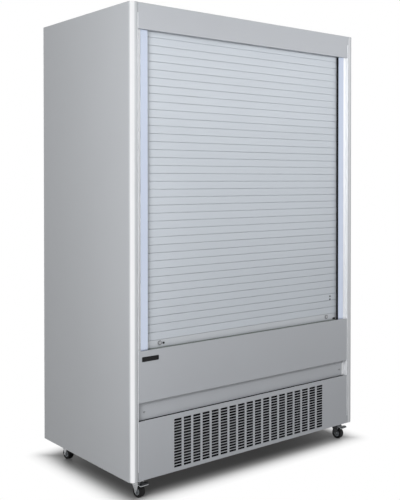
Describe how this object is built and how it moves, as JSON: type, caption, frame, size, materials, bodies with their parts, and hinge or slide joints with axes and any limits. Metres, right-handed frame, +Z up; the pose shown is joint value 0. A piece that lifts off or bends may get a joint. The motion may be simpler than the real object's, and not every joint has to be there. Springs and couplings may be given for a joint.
{
  "type": "multideck display fridge",
  "caption": "Upright multideck display fridge, its front closed by a slatted aluminium roller shutter, with shelves, plinth grille, built-in cooling and braked castors.",
  "frame": {"origin": "on the floor under the middle of the cabinet", "axes": "+X to the right seen from the front, +Y towards the back, +Z up; the shutter faces -Y"},
  "size_m": [1.25, 0.695, 1.892],
  "materials": {
    "painted_steel_body": "satin",
    "painted_steel_front": "satin",
    "painted_steel_inside": "satin",
    "galvanised_steel": "satin",
    "zinc_plated_steel": "satin",
    "chromed_steel": "polished",
    "anodised_aluminium": "satin",
    "coil_aluminium": "satin",
    "copper_pipe": "satin",
    "black_enamel": "satin",
    "black_plastic": "matte",
    "white_plastic": "satin",
    "rocker_plastic": "gloss",
    "grey_plastic": "satin",
    "seal_rubber": "matte",
    "tyre_rubber": "matte",
    "brush_pile": "matte",
    "lamp_cover": "satin"
  },
  "bodies": {
    "cabinet": {"side_panel_left": "painted_steel_body", "side_panel_right": "painted_steel_body", "roof_panel": "painted_steel_body", "back_wall": "galvanised_steel", "rear_cover": "galvanised_steel", "base_pan": "galvanised_steel", "side_liners": "painted_steel_inside", "tub": "painted_steel_inside", "air_duct": "painted_steel_inside", "deck_pan": "painted_steel_inside", "shelves": "painted_steel_inside", "shelf_brackets": "painted_steel_inside", "shelf_uprights": "painted_steel_inside", "roller_box": "painted_steel_inside", "fascia_panel": "painted_steel_front", "riser_panel": "painted_steel_front", "trim_strip": "painted_steel_front", "kick_panel": "painted_steel_front", "badge_plate": "black_plastic", "trim_screws": "zinc_plated_steel", "cable_gland": "black_plastic", "return_grille": "painted_steel_inside", "discharge_grille": "white_plastic", "price_rails": "white_plastic", "led_light": "lamp_cover", "shutter_guides": "anodised_aluminium", "guide_brushes": "brush_pile", "shutter_sill": "seal_rubber", "barrel_brackets": "zinc_plated_steel", "shutter_curtain": "anodised_aluminium", "compressor": "black_enamel", "condenser_coil": "black_enamel", "evaporator_coil": "coil_aluminium", "condenser_shroud": "black_enamel", "fan_plate": "galvanised_steel", "drain_tray": "black_plastic", "electrical_box": "grey_plastic", "pipework": "copper_pipe", "castor_plates": "zinc_plated_steel"},
    "shutter_bar": {"bottom_bar": "anodised_aluminium", "bottom_seal": "seal_rubber", "bar_stops": "black_plastic", "lock_rings": "chromed_steel"},
    "barrel": {"shutter_barrel": "galvanised_steel"},
    "lock_left": {"lock_cam_left": "zinc_plated_steel"},
    "lock_right": {"lock_cam_right": "zinc_plated_steel"},
    "condenser_fan_wheel": {"condenser_fan": "black_plastic"},
    "evaporator_fan_wheel_left": {"evaporator_fan_left": "black_plastic"},
    "evaporator_fan_wheel_right": {"evaporator_fan_right": "black_plastic"},
    "switch_rocker": {"light_switch": "rocker_plastic"},
    "fork_front_left": {"castor_fork_front_left": "zinc_plated_steel"},
    "wheel_front_left": {"castor_wheel_front_left": "tyre_rubber"},
    "fork_front_right": {"castor_fork_front_right": "zinc_plated_steel"},
    "wheel_front_right": {"castor_wheel_front_right": "tyre_rubber"},
    "fork_rear_left": {"castor_fork_rear_left": "zinc_plated_steel"},
    "wheel_rear_left": {"castor_wheel_rear_left": "tyre_rubber"},
    "fork_rear_right": {"castor_fork_rear_right": "zinc_plated_steel"},
    "wheel_rear_right": {"castor_wheel_rear_right": "tyre_rubber"},
    "pedal_left": {"brake_pedal_left": "zinc_plated_steel"},
    "pedal_right": {"brake_pedal_right": "zinc_plated_steel"}
  },
  "joints": [
    {"name": "shutter_lift", "type": "slide", "parent": "cabinet", "child": "shutter_bar", "axis": [0, 0, 1], "range_m": [0, 1.19], "deforming": ["shutter_curtain"]},
    {"name": "barrel_turn", "type": "hinge", "parent": "cabinet", "child": "barrel", "pos_m": [0, -0.278, 1.8245], "axis": [-1, 0, 0], "range_deg": [0, 1510]},
    {"name": "lock_turn_left", "type": "hinge", "parent": "shutter_bar", "child": "lock_left", "pos_m": [-0.473, -0.3205, 0.5853], "axis": [0, 1, 0], "range_deg": [0, 90]},
    {"name": "lock_turn_right", "type": "hinge", "parent": "shutter_bar", "child": "lock_right", "pos_m": [0.473, -0.3205, 0.5853], "axis": [0, 1, 0], "range_deg": [0, 90]},
    {"name": "condenser_fan_spin", "type": "hinge", "parent": "cabinet", "child": "condenser_fan_wheel", "pos_m": [0.15, -0.2562, 0.19], "axis": [0, 1, 0], "continuous": true},
    {"name": "switch_rock", "type": "hinge", "parent": "cabinet", "child": "switch_rocker", "pos_m": [0.49, -0.302, 0.217], "axis": [-1, 0, 0], "range_deg": [0, 14]},
    {"name": "evaporator_fan_spin_left", "type": "hinge", "parent": "cabinet", "child": "evaporator_fan_wheel_left", "pos_m": [-0.23, -0.062, 0.46785], "axis": [0, 1, 0], "continuous": true},
    {"name": "evaporator_fan_spin_right", "type": "hinge", "parent": "cabinet", "child": "evaporator_fan_wheel_right", "pos_m": [0.23, -0.062, 0.46785], "axis": [0, 1, 0], "continuous": true},
    {"name": "castor_swivel_front_left", "type": "hinge", "parent": "cabinet", "child": "fork_front_left", "pos_m": [-0.565, -0.2895, 0.0612], "axis": [0, 0, 1], "continuous": true},
    {"name": "wheel_roll_front_left", "type": "hinge", "parent": "fork_front_left", "child": "wheel_front_left", "pos_m": [-0.56361, -0.30945, 0.025], "axis": [-0.9976, -0.0698, 0], "continuous": true},
    {"name": "castor_swivel_front_right", "type": "hinge", "parent": "cabinet", "child": "fork_front_right", "pos_m": [0.565, -0.2895, 0.0612], "axis": [0, 0, 1], "continuous": true},
    {"name": "wheel_roll_front_right", "type": "hinge", "parent": "fork_front_right", "child": "wheel_front_right", "pos_m": [0.56639, -0.30945, 0.025], "axis": [-0.9976, -0.0698, 0], "continuous": true},
    {"name": "castor_swivel_rear_left", "type": "hinge", "parent": "cabinet", "child": "fork_rear_left", "pos_m": [-0.565, 0.2625, 0.0612], "axis": [0, 0, 1], "continuous": true},
    {"name": "wheel_roll_rear_left", "type": "hinge", "parent": "fork_rear_left", "child": "wheel_rear_left", "pos_m": [-0.56361, 0.24255, 0.025], "axis": [-0.9976, -0.0698, 0], "continuous": true},
    {"name": "castor_swivel_rear_right", "type": "hinge", "parent": "cabinet", "child": "fork_rear_right", "pos_m": [0.565, 0.2625, 0.0612], "axis": [0, 0, 1], "continuous": true},
    {"name": "wheel_roll_rear_right", "type": "hinge", "parent": "fork_rear_right", "child": "wheel_rear_right", "pos_m": [0.56639, 0.24255, 0.025], "axis": [-0.9976, -0.0698, 0], "continuous": true},
    {"name": "brake_press_left", "type": "hinge", "parent": "fork_front_left", "child": "pedal_left", "pos_m": [-0.56312, -0.31643, 0.0551], "axis": [0.9976, 0.0698, 0], "range_deg": [0, 12]},
    {"name": "brake_press_right", "type": "hinge", "parent": "fork_front_right", "child": "pedal_right", "pos_m": [0.56688, -0.31643, 0.0551], "axis": [0.9976, 0.0698, 0], "range_deg": [0, 12]}
  ],
  "couplings": [
    {"joint": "barrel_turn", "follows": "shutter_lift", "rad_per_m": 22}
  ]
}
